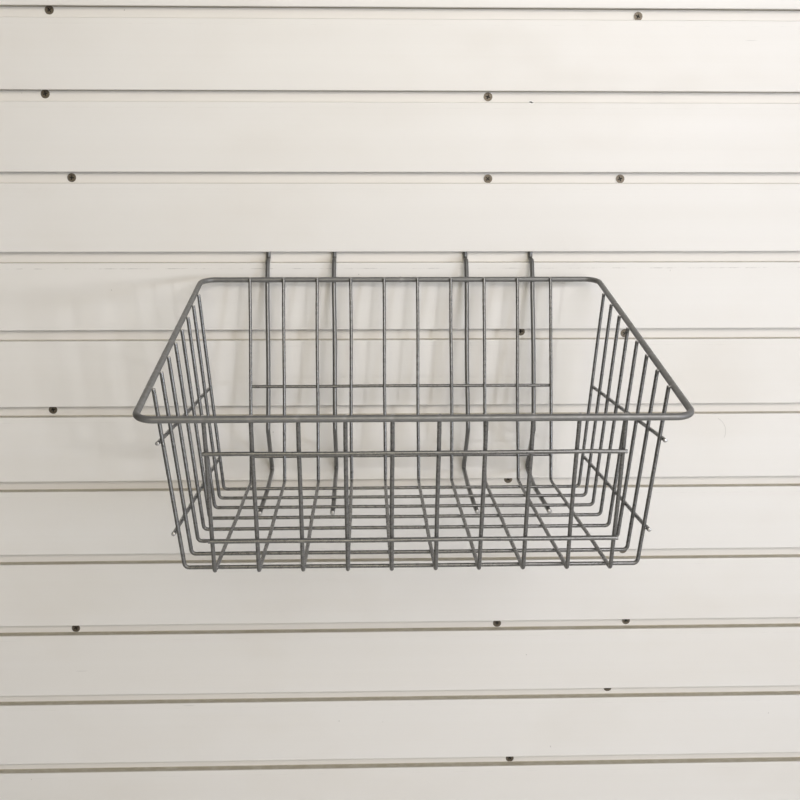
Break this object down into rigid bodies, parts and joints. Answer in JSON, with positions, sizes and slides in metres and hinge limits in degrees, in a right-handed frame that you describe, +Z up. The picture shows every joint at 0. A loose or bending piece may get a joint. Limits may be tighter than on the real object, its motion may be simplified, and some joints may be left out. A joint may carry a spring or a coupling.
{
  "type": "slatwall panel",
  "caption": "White interlocking slatwall boards screwed to timber battens, with edge trims and a grey wire basket hooked into one groove.",
  "frame": {"origin": "centre of the four wall-bolt holes, on the battens' back faces, which is the wall's surface", "axes": "+Z up, +X to the right along the boards as seen from the shop, +Y into the wall"},
  "size_m": [1.224, 0.3925, 0.956],
  "materials": {
    "pvc_board": "satin extruded PVC, warm white",
    "pvc_trim": "satin extruded PVC, warm white",
    "batten_timber": "sawn softwood",
    "zinc_screw": "dull zinc plate",
    "basket_wire": "semi-gloss grey paint on steel wire",
    "rim_wire": "semi-gloss grey paint on steel wire",
    "hanger_wire": "semi-gloss grey paint on steel wire"
  },
  "bodies": {
    "panel": {"slat_01": "pvc_board", "slat_02": "pvc_board", "slat_03": "pvc_board", "slat_04": "pvc_board", "slat_05": "pvc_board", "slat_06": "pvc_board", "slat_07": "pvc_board", "slat_08": "pvc_board", "slat_09": "pvc_board", "slat_10": "pvc_board", "slat_11": "pvc_board", "slat_12": "pvc_board", "starter_strip": "pvc_board", "top_cap": "pvc_trim", "end_trim_left": "pvc_trim", "end_trim_right": "pvc_trim", "batten_1": "batten_timber", "batten_2": "batten_timber", "batten_3": "batten_timber", "batten_4": "batten_timber", "batten_5": "batten_timber", "screws_batten_1": "zinc_screw", "screws_batten_2": "zinc_screw", "screws_batten_3": "zinc_screw", "screws_batten_4": "zinc_screw", "screws_batten_5": "zinc_screw"},
    "basket": {"basket_rim": "rim_wire", "rib_01": "basket_wire", "rib_02": "basket_wire", "rib_03": "basket_wire", "rib_04": "basket_wire", "rib_05": "basket_wire", "rib_06": "basket_wire", "rib_07": "basket_wire", "rib_08": "basket_wire", "rib_09": "basket_wire", "rib_10": "basket_wire", "cross_wire_1": "basket_wire", "cross_wire_2": "basket_wire", "cross_wire_3": "basket_wire", "cross_wire_4": "basket_wire", "cross_wire_5": "basket_wire", "cross_wire_6": "basket_wire", "cross_wire_7": "basket_wire", "cross_wire_8": "basket_wire", "front_belt_upper": "basket_wire", "front_belt_lower": "basket_wire", "back_belt_upper": "basket_wire", "back_belt_lower": "basket_wire", "side_belt_left_upper": "basket_wire", "side_belt_left_lower": "basket_wire", "side_belt_right_upper": "basket_wire", "side_belt_right_lower": "basket_wire", "hanger_1": "hanger_wire", "hanger_2": "hanger_wire", "hanger_3": "hanger_wire", "hanger_4": "hanger_wire"}
  },
  "joints": [
    {"name": "basket_slide", "type": "slide", "parent": "panel", "child": "basket", "axis": [1, 0, 0], "range_m": [-0.455, 0.455]}
  ]
}
